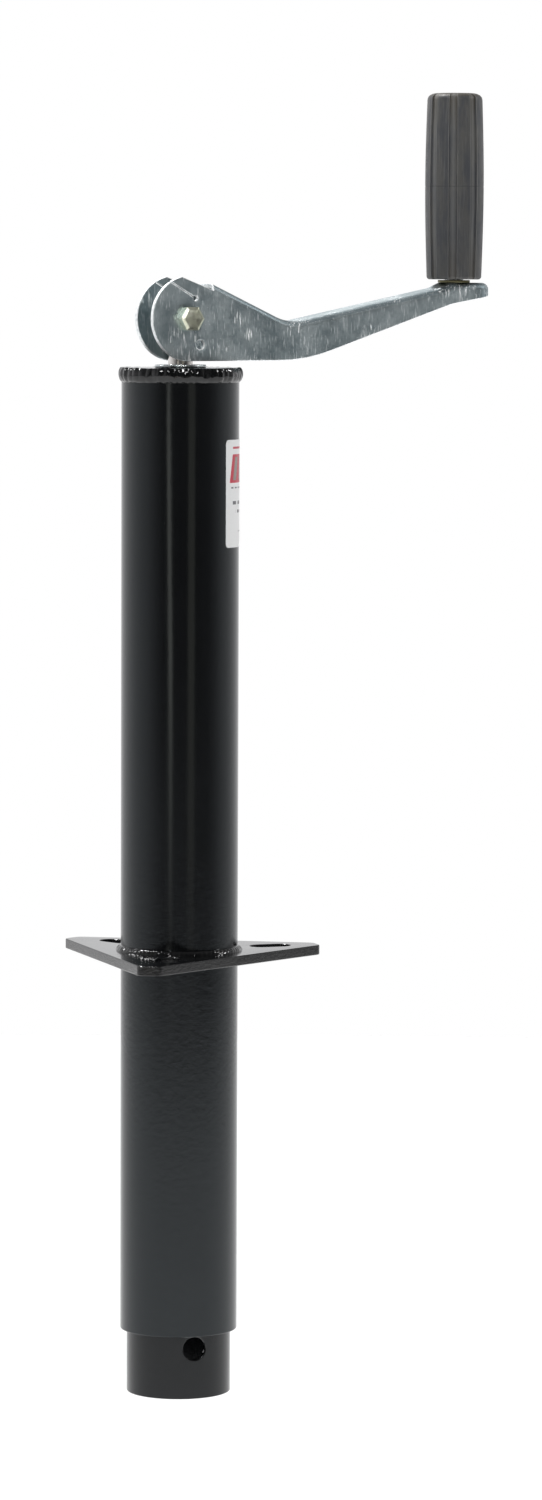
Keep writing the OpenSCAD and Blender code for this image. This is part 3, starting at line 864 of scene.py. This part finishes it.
def ear_shift(p):
    """How far the ear above the cut is pressed in, so that it catches the light."""
    hinge = Vector((NOTCH_U, 17 - FOLD_R)) - RELIEF_AT
    beyond = (hinge.x * (p.y - RELIEF_AT.y) - hinge.y * (p.x - RELIEF_AT.x)) / hinge.length
    run = (RELIEF_AT - EAR_END).normalized()
    over_cut = run.x * (p.y - RELIEF_AT.y) - run.y * (p.x - RELIEF_AT.x)
    return 0.02 * beyond if beyond > 0 and over_cut > 0 else 0.0


def dimple_shift(p):
    """How deep the pressed dimple is at p: a low rim, then a flat floor."""
    r = (p - DIMPLE_AT).length
    points = [(0, 0.7), (0.8, 0.95), (1.7, 1.0), (2.1, 0.6), (2.45, 0.02), (2.75, -0.2),
              (3.1, -0.16), (3.6, 0), (99, 0)]
    angle = atan2(p.y - DIMPLE_AT.y, p.x - DIMPLE_AT.x)
    uneven = 0.18 * sin(3 * angle + 0.6) * sin(pi * min(1, r / 2.1))
    return height_on(points, r) + uneven


def hub_plate(sheet, side, column):
    """One flat side plate of the hub, triangulated round its holes. column holds
    the points at the notch that the rest of the arm shares."""
    outline = hub_outline()
    bottom = [Vector((u, height_on(BOTTOM_LINE, u))) for u in (2.5, 5.5, 8.5, 11)]
    outline += bottom + [Vector(p) for p in reversed(column[1:])]
    points, edges = list(outline), [(i, (i + 1) % len(outline))
                                    for i in range(len(outline))]

    def ring(centre, radius, count):
        first = len(points)
        points.extend(centre + ray(TAU * i / count) * radius for i in range(count))
        edges.extend((first + i, first + (i + 1) % count) for i in range(count))

    ring(Vector((0, 0)), BOLT_HOLE_R, 32)
    for radius in (3.6, 3.1, 2.75, 2.45, 2.1, 1.7, 1.2, 0.8):
        ring(DIMPLE_AT, radius, 28)
    for radius, count in ((4.6, 24), (6.6, 24), (17.6, 60)):
        for i in range(count):
            p = ray(TAU * i / count) * radius
            if p.x < NOTCH_U - 1 and p.y < 12 and (p - RELIEF_AT).length > 2.2:
                points.append(p)
    verts, _, faces, *_ = geometry.delaunay_2d_cdt(points, edges, [], 1, 1e-4)
    place = []
    for p in verts:
        shift = dimple_shift(p) + ear_shift(p)
        # the last argument gives the dimple's ring the painted highlight
        place.append(sheet.vert((p.x, side * (HALF_W - shift), p.y),
                                (p.x, side * (HALF_W - STEEL - shift), p.y),
                                2.05 < (p - DIMPLE_AT).length < 2.8))
    for loop in faces:
        middle = sum((verts[i] for i in loop), Vector((0, 0))) / len(loop)
        if middle.length > BOLT_HOLE_R:
            sheet.face(*(place[i] for i in loop))


def make_arm(material):
    """The pressed channel: two side plates, folds, a web and a round closed tip."""
    sheet = Sheet()
    wall_rows, fold_steps, web_steps = 5, 7, 4

    def section(u_of, across):
        """One line of points from the bottom edge over the fold to the centre.
        u_of and across turn a distance from the centre line into u and v."""
        def point(rho_out, rho_in, rise_out, rise_in, level):
            top = height_on(TOP_LINE, u_of(rho_out))
            low = height_on(BOTTOM_LINE, u_of(rho_out))
            base = low + (top - FOLD_R - low) * level
            return sheet.vert((u_of(rho_out), across(rho_out), base + rise_out),
                              (u_of(rho_in), across(rho_in), base + rise_in))

        line = [point(HALF_W, HALF_W - STEEL, 0, 0, k / wall_rows)
                for k in range(wall_rows + 1)]
        for k in range(1, fold_steps + 1):
            a = pi / 2 * k / fold_steps
            centre = HALF_W - FOLD_R
            inner = FOLD_R - STEEL
            line.append(point(centre + FOLD_R * cos(a), centre + inner * cos(a),
                              FOLD_R * sin(a), inner * sin(a), 1))
        for k in range(1, web_steps + 1):
            rho = (HALF_W - FOLD_R) * (1 - k / web_steps)
            line.append(point(rho, rho, FOLD_R, FOLD_R - STEEL, 1))
        return line

    stations = 110
    straight = [NOTCH_U + (TIP_CENTRE_U - NOTCH_U) * k / stations
                for k in range(stations + 1)]
    for side in (-1, 1):
        sheet.grid([section(lambda rho, u=u: u, lambda rho, s=side: s * rho)
                    for u in straight])
        low = height_on(BOTTOM_LINE, NOTCH_U)
        top = 17 - FOLD_R
        column = [(NOTCH_U, top + (low - top) * k / wall_rows)
                  for k in range(wall_rows + 1)]
        hub_plate(sheet, side, column)
    turns = [radians(-90 + 180 * k / 24) for k in range(25)]
    sheet.grid([section(lambda rho, a=a: TIP_CENTRE_U + rho * cos(a),
                        lambda rho, a=a: rho * sin(a)) for a in turns])
    bm = sheet.build(ARM)
    new_piece("crank_channel", bm, material, "crank", ["crank_arm"],
              smooth=50, bevel=0.3 * MM)


def hexagon(across_flats, corner=0.35 * MM, steps=4):
    """A hexagon's points with slightly rounded corners, one corner on +X."""
    far = across_flats / 2 / cos(radians(30))
    return rounded([(far * cos(TAU * k / 6), far * sin(TAU * k / 6), corner)
                    for k in range(6)], steps)


def hex_body(bm, across_flats, height, place, bore=0.0):
    """A hexagonal head with a shallow dish, or with a bore a nut. A cone cuts the
    corners of a head's outer end and of both ends of a nut."""
    flat_r = across_flats / 2 * 0.89
    slope = tan(radians(32))
    outline = [Vector(p) for p in hexagon(across_flats)]
    drops = [(p.length - flat_r) * slope for p in outline]

    def circle(radius, level):
        return [p.normalized() * radius for p in outline], [level] * len(outline)

    if bore:
        ease = 0.4 * MM
        rings = [circle(bore, 0.0), circle(flat_r, 0.0), (outline, drops)]
        inward = [(bore + ease, 0.0), (bore, ease)]
    else:
        rings = [(outline, [0.0] * len(outline))]
        inward = [(flat_r * share, sunk * MM)
                  for share, sunk in ((0.86, 0.0), (0.8, 0.12), (0.4, 0.16))]
    rings += [(outline, [height - drop for drop in drops]), circle(flat_r, height)]
    rings += [circle(radius, height - sunk) for radius, sunk in inward]
    made = [[bm.verts.new(place @ Vector((p.x, p.y, z))) for p, z in zip(*ring)]
            for ring in rings]
    join_rings(bm, made, closed=bool(bore))
    if not bore:
        bm.faces.new(made[-1])
        bm.faces.new(made[0])


def thread(bm, radius, pitch, z0, z1, depth, place, hand=1, turn_steps=24):
    """A screw thread as one closed rod. hand is -1 for a left-hand thread."""
    shape = [0.0, 0.0, 0.5, 1.0, 0.5]  # how deep the thread is cut, over one pitch
    rows_per_turn = len(shape)
    count = int(round((z1 - z0) / pitch * rows_per_turn))
    profile = [(0, z0), (radius - depth, z0)]
    profile += [(radius, z0 + pitch * (k + 1) / rows_per_turn) for k in range(count - 1)]
    profile += [(radius - depth, z1), (0, z1)]

    def cut(r, z, angle):
        if r < radius:
            return r, z
        phase = ((z - z0) / pitch - hand * angle / TAU) % 1.0 * rows_per_turn
        k = int(phase) % rows_per_turn
        part = phase - int(phase)
        low = shape[k] + (shape[(k + 1) % rows_per_turn] - shape[k]) * part
        ends = min(1, (z - z0) / pitch, (z1 - z) / pitch)
        return radius - depth * max(low, 1 - ends), z

    lathe(bm, profile, turn_steps, cut, place)


def make_bolt(material):
    """Hex head on the near side, a plain shank and a threaded end past the nut."""
    bm = bmesh.new()
    radius, threaded = BOLT_R * MM, 9 * MM
    near, far = HALF_W * MM, (HALF_W + NUT_H + 2) * MM
    hex_body(bm, HEX_W * MM, 4 * MM,
             ARM @ Matrix.Translation((0, -near, 0)) @ ALONG_BOLT)
    shaft = ARM @ Matrix.Translation((0, far, 0)) @ ALONG_BOLT
    under_head = far + near + 0.5 * MM
    lathe(bm, [(0, threaded - 0.4 * MM), (radius * 0.86, threaded - 0.4 * MM),
               (radius, threaded), (radius, under_head), (0, under_head)],
          40, place=shaft)
    thread(bm, radius - 0.04 * MM, 1.27 * MM, 0.0, threaded, 0.55 * MM, shaft,
           turn_steps=32)
    new_piece("pivot_hex_bolt", bm, material, "crank", ["pivot_bolt"],
              smooth=30)


def make_nut(material):
    """The nut on the bolt's far side."""
    bm = bmesh.new()
    place = ARM @ Matrix.Translation((0, (HALF_W + NUT_H) * MM, 0)) @ ALONG_BOLT
    hex_body(bm, HEX_W * MM, NUT_H * MM, place, bore=3.2 * MM)
    new_piece("pivot_hex_nut", bm, material, "crank", ["pivot_nut"],
              smooth=30)


def make_spindle(material):
    """The grip's pin, peened over under the arm."""
    under, top = PAD_W - STEEL, grip_top_w() - 7
    line = [(0, under - 1.8), (2.2, under - 1.75), (4.0, under - 1.4), (5.1, under - 0.8),
            (5.4, under - 0.1), (3.6, under), (3.6, PAD_W), (4.75, PAD_W),
            (4.75, top - 0.8), (4.0, top), (0, top)]
    turned("grip_pin", in_mm(line), 48, material, "crank",
           "grip_spindle", AT_GRIP)


def make_grip_collar(material):
    """The thin collar between the arm's pad and the grip."""
    turned("grip_thrust_collar",
           box_profile(4.85 * MM, 8 * MM, PAD_W * MM, (PAD_W + 1.3) * MM, 0.3 * MM),
           64, material, "crank", "grip_collar", AT_GRIP)


# ---- Grip ----

GRIP_END_R = 27.3 / 2
GRIP_MID_R = 29.3 / 2
GROOVE_DEPTH = 0.95
GRIP_FALL = 1.5  # how far the top drops from its middle to the rim
GROOVE_FLOOR_R = GRIP_END_R - GROOVE_DEPTH


def grip_top_w():
    """The height of the grip's top above the pivot, in millimetres."""
    return (grip_high.z - ARM.translation.z) / MM


def make_grip(material):
    """The fluted barrel. Eight lobes stand between grooves that follow its swell,
    each groove's edges carry a painted highlight, and the top falls away to the rim."""
    low = grip_low.z - ARM.translation.z
    long = (grip_high.z - grip_low.z) / MM
    place = ARM @ Matrix.Translation((CRANK_R * MM, 0, low))
    lobes, edge_r, rows = 8, 1.5, 44
    floor_half, wall_end = radians(7.2), radians(8.8)
    turn = radians(9)
    # across half a groove: each angle, and how much painted highlight the plastic has there
    half = [(floor_half - 0.012, 0), (floor_half + 0.006, 0), (wall_end - 0.012, 0),
            (wall_end - 0.002, 1), (wall_end + 0.02, 0)]
    # the groove's middle gets a paler mould line at half strength
    pattern = [(-angle, lip) for angle, lip in reversed(half)] + [(0, 0.5)] + half
    period = TAU / lobes
    crown = [(wall_end + 0.02 + (period - 2 * wall_end - 0.04) * k / 8, 0)
             for k in range(1, 8)]
    around = [(a + period * k, lip) for k in range(lobes) for a, lip in pattern + crown]

    def depth(angle):
        apart = abs((angle + period / 2) % period - period / 2)
        t = max(0, min(1, (wall_end - apart) / (wall_end - floor_half)))
        return GROOVE_DEPTH * t * t * (3 - 2 * t)

    def barrel(z):
        t = max(0, min(1, z / long))
        seam = 0.10 * exp(-((z - long / 2) / 0.22) ** 2)
        return GRIP_END_R + (GRIP_MID_R - GRIP_END_R) * sin(pi * t) - seam

    corner = quarter(edge_r, [18 * k for k in range(6)])
    heights = [edge_r + (long - 2 * edge_r) * k / rows for k in range(1, rows)]
    heights += [long / 2 + d for d in (-0.5, -0.25, 0.25, 0.5)]
    # each line is a radius, how much of the groove it has, and a height
    lines = [(4.84, 0, 0), (10, 0, 0), (11.8, 0.6, 0)]
    lines += [(barrel(z) - inset, 1, z) for inset, z in corner]
    lines += [(barrel(z), 1, z) for z in sorted(heights)]
    lines += [(barrel(long - z) - inset, 1,
               long - z - GRIP_FALL * (1 - 0.5 * inset / edge_r))
              for inset, z in reversed(corner)]
    lines += [(11.1, 0.5, long - 0.25), (9.9, 0, long), (9.55, 0, long - 0.35),
              (9.5, 0, long - 14), (4.84, 0, long - 14)]
    bm = bmesh.new()
    highlight_and_mould_line_layer = bm.verts.layers.float.new("lip")
    made = []
    for radius, share, z in lines:
        row = []
        for angle, lip in around:
            r = radius - depth(angle) * share
            vert = bm.verts.new(place @ (Vector(
                (r * cos(angle + turn), r * sin(angle + turn), z)) * MM))
            vert[highlight_and_mould_line_layer] = lip * share
            row.append(vert)
        made.append(row)
    join_rings(bm, made, closed=True)
    new_piece("fluted_grip", bm, material, "grip", ["handle_grip"],
              smooth=35)


def make_grip_plug(material):
    """The plug that closes the grip's top."""
    top = grip_top_w()
    line = [(0, top - 4), (9.2, top - 4), (9.4, top - 0.7), (9.1, top - 0.3),
            (8.4, top - 0.15), (3, top - 0.05), (0, top - 0.05)]
    turned("grip_cap", in_mm(line), 64, material, "grip",
           "grip_end_plug", AT_GRIP)


# ---- Screw ----


def make_screw(material):
    """Plain shank above, left-hand thread below: one turn lifts one pitch."""
    bm = bmesh.new()
    shank_r, thread_r, pitch = 6.1 * MM, 6.35 * MM, 2.54 * MM
    thread_top = 255.2 * MM
    lathe(bm, [(0, thread_top - MM), (shank_r - 1.2 * MM, thread_top - MM),
               (shank_r, thread_top), (shank_r, screw_high.z - 1.2 * MM),
               (shank_r - 0.35 * MM, screw_high.z - 0.35 * MM),
               (shank_r - 1.2 * MM, screw_high.z), (0, screw_high.z)], 64)
    thread(bm, thread_r, pitch, screw_low.z, thread_top, 1.1 * MM, Matrix.Identity(4), -1)
    new_piece("jack_screw", bm, material, "screw", ["lead_screw"],
              smooth=50)


# ---- Studio ----

FLOOR_GAP = 12 * MM  # below the foot of the extended ram
FLOOR_Z = ram_low.z - joints["ram_slide"]["range_m"][1] - FLOOR_GAP
CAMERA_AT = Vector((-0.8546, -2.5813, 0.3314))
CAMERA_TURN = Euler((radians(90 - 4.815), radians(-0.205),
                     radians(-19.238)), "XYZ")
CAMERA_BEARING = atan2(CAMERA_AT.y, CAMERA_AT.x)
DARK_TURN = radians(12)  # from the camera to the darkest side of the room
# how bright the room's walls are, from the far side round to the camera's
WALLS = ((0.0, 1.0), (0.21, 0.92), (0.42, 0.7), (0.6, 0.5), (0.77, 0.19), (0.86, 0.06),
         (1.0, 0.035))
CEILING = 0.35  # how bright the room is overhead, as a share of its walls
# name, bearing from the camera in degrees, height, height aimed at, distance, size,
# radiance and colour of each soft panel
PANELS = (
    ("strip_left", -20, 0.08, 0.08, 2.2, (0.22, 0.55), 1.35, (1.0, 0.96, 0.86)),
    ("strip_right", 22, 0.08, 0.08, 2.2, (0.5, 0.55), 0.38, (1.0, 0.95, 0.80)),
    ("key_high", -12, 2.1, 0.25, 2.0, (0.5, 0.3), 40.0, (1, 1, 1)),
    ("key_low", 14, 1.5, 0.25, 2.1, (0.5, 0.16), 30.0, (1, 1, 1)),
    ("rim_left", -112, 1.6, 0.25, 2.1, (0.3, 0.3), 30.0, (1, 1, 1)),
    ("rim_right", 98, 1.6, 0.25, 2.1, (0.3, 0.3), 30.0, (1, 1, 1)),
)


def make_floor(material):
    """A round pale floor, clear of the foot of the extended ram."""
    bm = bmesh.new()
    lathe(bm, [(0, 0), (2.0, 0), (4.0, 0), (4.2, -0.05), (0, -0.05)], 96,
          place=Matrix.Translation((0, 0, FLOOR_Z)))
    mesh = bpy.data.meshes.new("floor")
    bmesh.ops.recalc_face_normals(bm, faces=bm.faces)
    bm.to_mesh(mesh)
    bm.free()
    floor = add_object("floor", mesh)
    floor.data.materials.append(material)


def make_camera():
    """The camera at the object's usual three-quarter view."""
    data = bpy.data.cameras.new("camera")
    data.lens = 134.55
    data.sensor_width = 36
    camera = add_object("camera", data)
    camera.location = CAMERA_AT
    camera.rotation_euler = CAMERA_TURN
    bpy.context.scene.camera = camera


def make_light(name, bearing, height, aim, distance, size, radiance, colour):
    """A soft panel at a bearing from the camera's side, aimed at a height on the jack."""
    data = bpy.data.lights.new(name, "AREA")
    data.shape = "RECTANGLE"
    data.size, data.size_y = size
    data.energy = radiance * pi * size[0] * size[1]
    data.color = colour
    light = add_object(name, data)
    towards = CAMERA_BEARING + radians(bearing)
    light.location = (distance * cos(towards), distance * sin(towards), height)
    light.rotation_euler = (Vector((0, 0, aim)) - light.location).to_track_quat(
        "-Z", "Z").to_euler()
    light.visible_camera = False


def make_sun(strength, spread):
    """Soft light from overhead, which keeps the floor white."""
    data = bpy.data.lights.new("overhead", "SUN")
    data.energy = strength
    data.angle = radians(spread)
    sun = add_object("overhead", data)
    sun.rotation_euler = (radians(-24), radians(-14), 0)


def make_world():
    """A white room that is darker round the camera, as a product studio is."""
    world = bpy.data.worlds.new("studio")
    world.use_nodes = True
    bpy.context.scene.world = world
    world.node_tree.nodes.clear()
    g = Nodes(world.node_tree)
    away = CAMERA_BEARING + DARK_TURN
    place = g.add("TexCoord", {}, "Generated")
    dot = g.add("VectorMath", {0: place, 1: (cos(away), sin(away), 0)}, "Value",
                operation="DOT_PRODUCT")
    towards = g.add("Math", {0: dot, 1: 0.5, 2: 0.5}, operation="MULTIPLY_ADD")
    walls = g.add("ValToRGB", {0: towards}, "Color")
    stops = walls.node.color_ramp.elements
    for position, level in WALLS:
        stop = (stops[0] if position == 0 else stops[-1] if position == 1
                else stops.new(position))
        stop.position = position
        stop.color = (level, level, level * 1.01, 1)
    height = g.add("SeparateXYZ", {"Vector": place}, "Z")
    strength = g.add("MapRange", {"Value": height, "From Min": 0.15, "From Max": 0.75,
                                  "To Min": 1.0, "To Max": CEILING})
    room = g.add("Background", {"Color": walls, "Strength": strength})
    backdrop = g.add("Background", {"Color": (1, 1, 1)})
    seen = g.add("LightPath", {}, "Is Camera Ray")
    mixed = g.add("MixShader", {0: seen, 1: room, 2: backdrop})
    g.add("OutputWorld", {"Surface": mixed}, None)


def main():
    cool = (0.87, 0.955, 1.0)
    paint = paint_material("black_paint", 0.11, 0.03 * MM, 0.47, cool)
    ram_paint = paint_material("black_paint_ram", 0.13, 0.03 * MM, 0.36, (0.95, 0.98, 1.0))
    plate_paint = paint_material("black_paint_plate", 0.09, 0.035 * MM, rough_edges=True)
    weld_paint = paint_material("black_paint_weld", 0.045, 0.012 * MM)
    plated, yellow, shade_darkened_zinc, ground, greased, brass = (plated_material(*row) for row in (
        ("zinc_hardware", (0.52, 0.56, 0.57), (0.72, 0.75, 0.75), 0.2, 0.32),
        ("yellow_zinc", (0.56, 0.57, 0.44), (0.78, 0.79, 0.66), 0.28, 0.42),
        # the same yellow zinc darkened into painted shade, for the collar in the gap under the
        # grip
        ("yellow_zinc_in_painted_shade", (0.13, 0.12, 0.06), (0.24, 0.22, 0.13), 0.4, 0.5),
        ("bearing_steel", (0.55, 0.56, 0.58), (0.7, 0.71, 0.73), 0.08, 0.16),
        ("dark_steel", (0.14, 0.125, 0.10), (0.3, 0.28, 0.25), 0.25, 0.42),
        ("brass", (0.62, 0.44, 0.16), (0.78, 0.6, 0.27), 0.2, 0.36)))
    plastic = grip_material()

    for make, material in (
            (make_outer_tube, paint), (make_top_weld, weld_paint),
            (make_flange, plate_paint), (make_flange_weld, weld_paint),
            (make_label, label_material()), (make_cap_washer, plated),
            (make_ram, ram_paint), (make_arm, zinc_material()), (make_bolt, yellow),
            # the collar gets the yellow zinc darkened into painted shade
            (make_nut, plated), (make_spindle, plated), (make_grip_collar, shade_darkened_zinc),
            (make_grip, plastic), (make_grip_plug, plastic),
            (make_screw, screw_material())):
        make(material)

    # the pieces inside keep their CAD shape
    for material, names in (
            (paint, ["top_cap"]),
            (ground, ["bearing_upper_race", "bearing_balls", "bearing_lower_race"]),
            (brass, ["bearing_cage"]),
            (greased, ["thrust_collar", "drive_nut", "nut_weld"]),
            (plated, ["collar_pin", "stop_washer", "stop_pin", "grip_retaining_ring"])):
        for name in names:
            node = frame["nodes"][name]
            if not node.material_slots:
                node.data.materials.append(material)
            for slot in node.material_slots:
                slot.material = material

    make_floor(floor_material())
    make_world()
    make_sun(3.3, 14)
    for panel in PANELS:
        make_light(*panel)
    make_camera()
    bpy.context.scene.view_settings.view_transform = "Standard"


main()
